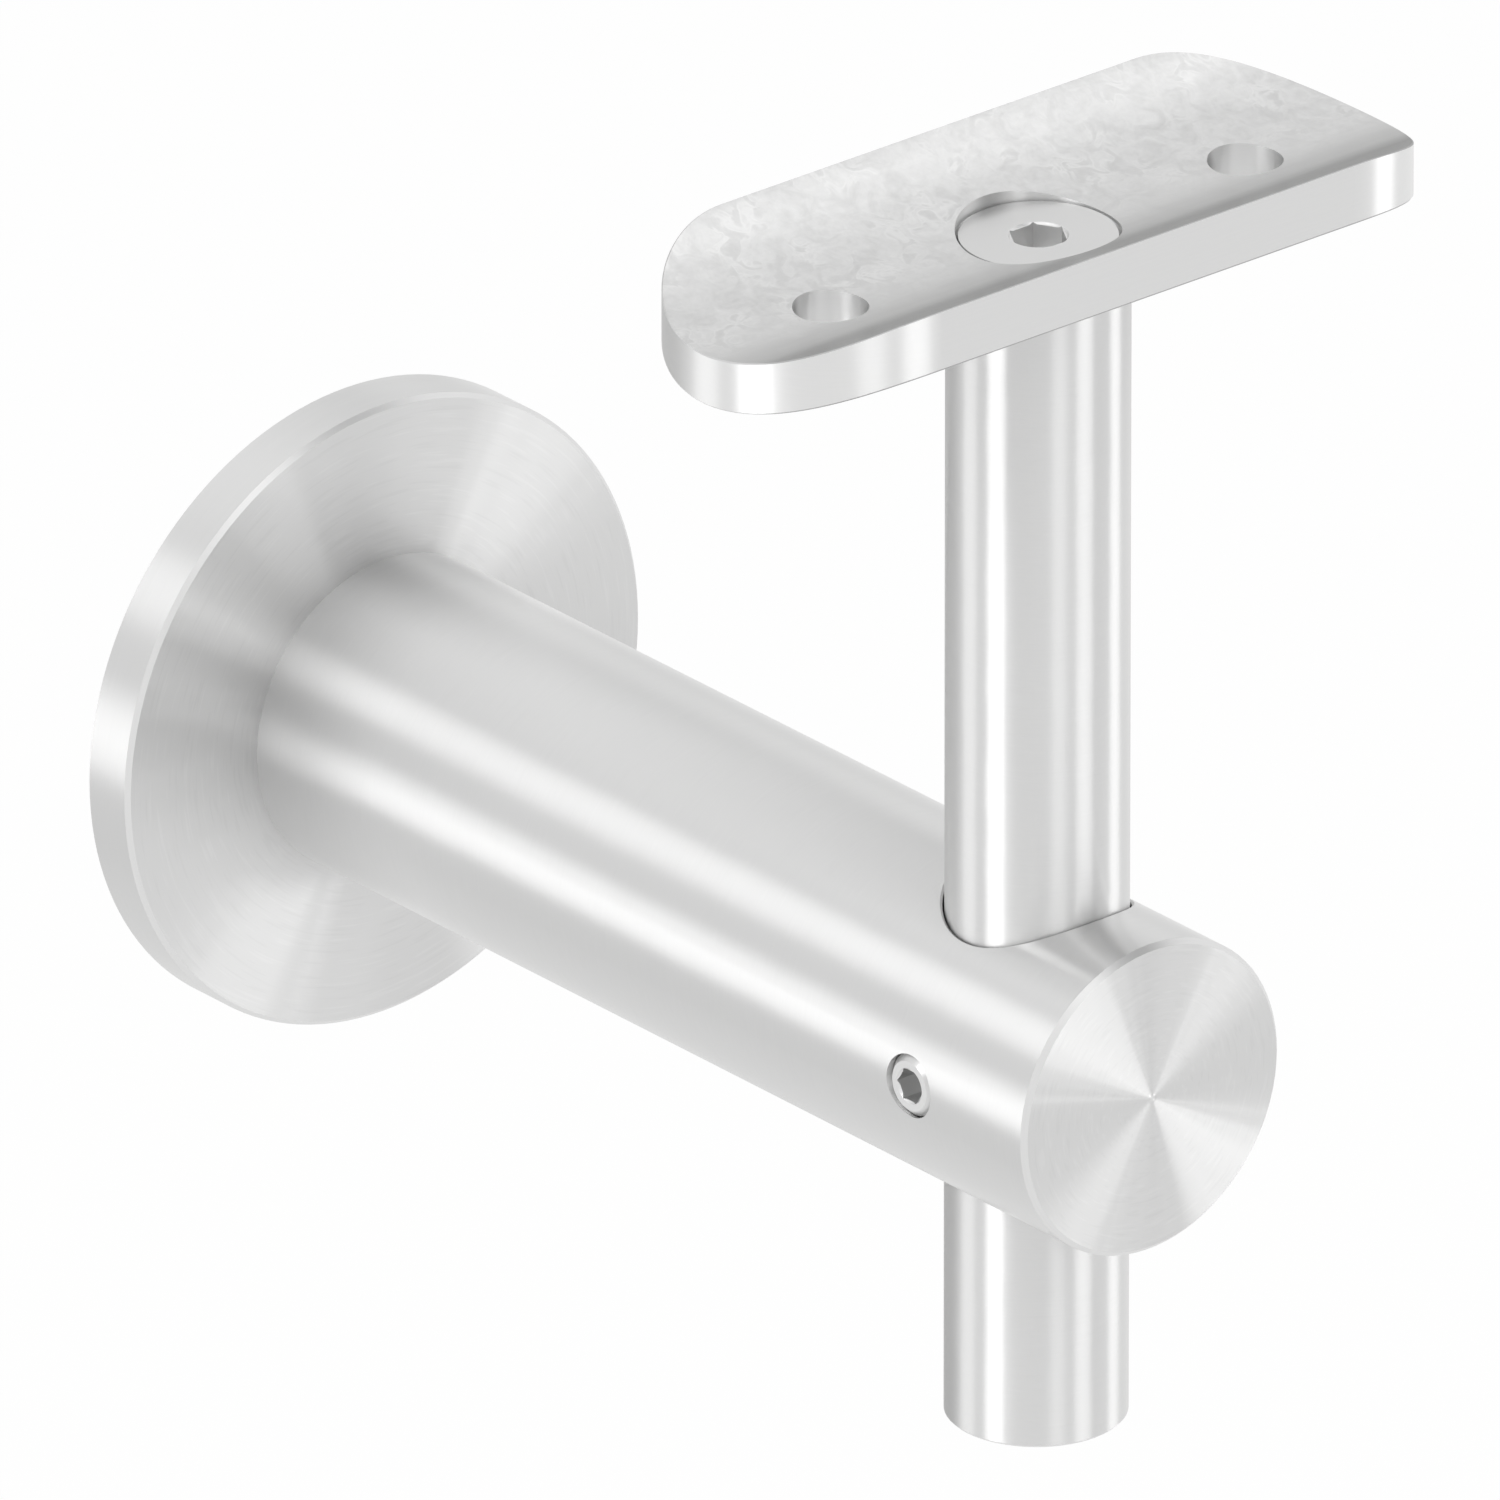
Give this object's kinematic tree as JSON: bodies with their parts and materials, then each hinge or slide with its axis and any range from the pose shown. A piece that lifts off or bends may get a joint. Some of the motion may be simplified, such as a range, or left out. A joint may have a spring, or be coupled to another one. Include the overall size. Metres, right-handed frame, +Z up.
{
  "type": "handrail bracket",
  "caption": "Wall bracket with a round flange, a round arm and a height-adjustable round post that carries a swivelling curved saddle for a round handrail.",
  "frame": {"origin": "centre of the wall flange's back face, at the mouth of the wall stud's tapped hole", "axes": "+Y into the wall, so the arm points along -Y; +X along the rail; +Z up, along the post towards the saddle"},
  "size_m": [0.066, 0.0949, 0.1018],
  "materials": {
    "turned_flange": "satin stainless steel, turned in fine rings",
    "turned_arm": "satin stainless steel, turned round its axis",
    "ground_post": "satin stainless steel, ground round its axis",
    "satin_saddle": "satin stainless steel with a faintly mottled cradle",
    "screw_steel": "plain stainless steel"
  },
  "bodies": {
    "arm": {"wall_flange": "turned_flange", "arm": "turned_arm", "clamp_screw": "screw_steel"},
    "post": {"post": "ground_post", "saddle_screw": "screw_steel"},
    "saddle": {"saddle": "satin_saddle"}
  },
  "joints": [
    {"name": "post_height", "type": "slide", "parent": "arm", "child": "post", "axis": [0, 0, 1], "range_m": [-0.0498, 0.018]},
    {"name": "saddle_swivel", "type": "hinge", "parent": "post", "child": "saddle", "pos_m": [0, -0.0815, 0.0669], "axis": [0, 0, 1], "continuous": true}
  ]
}
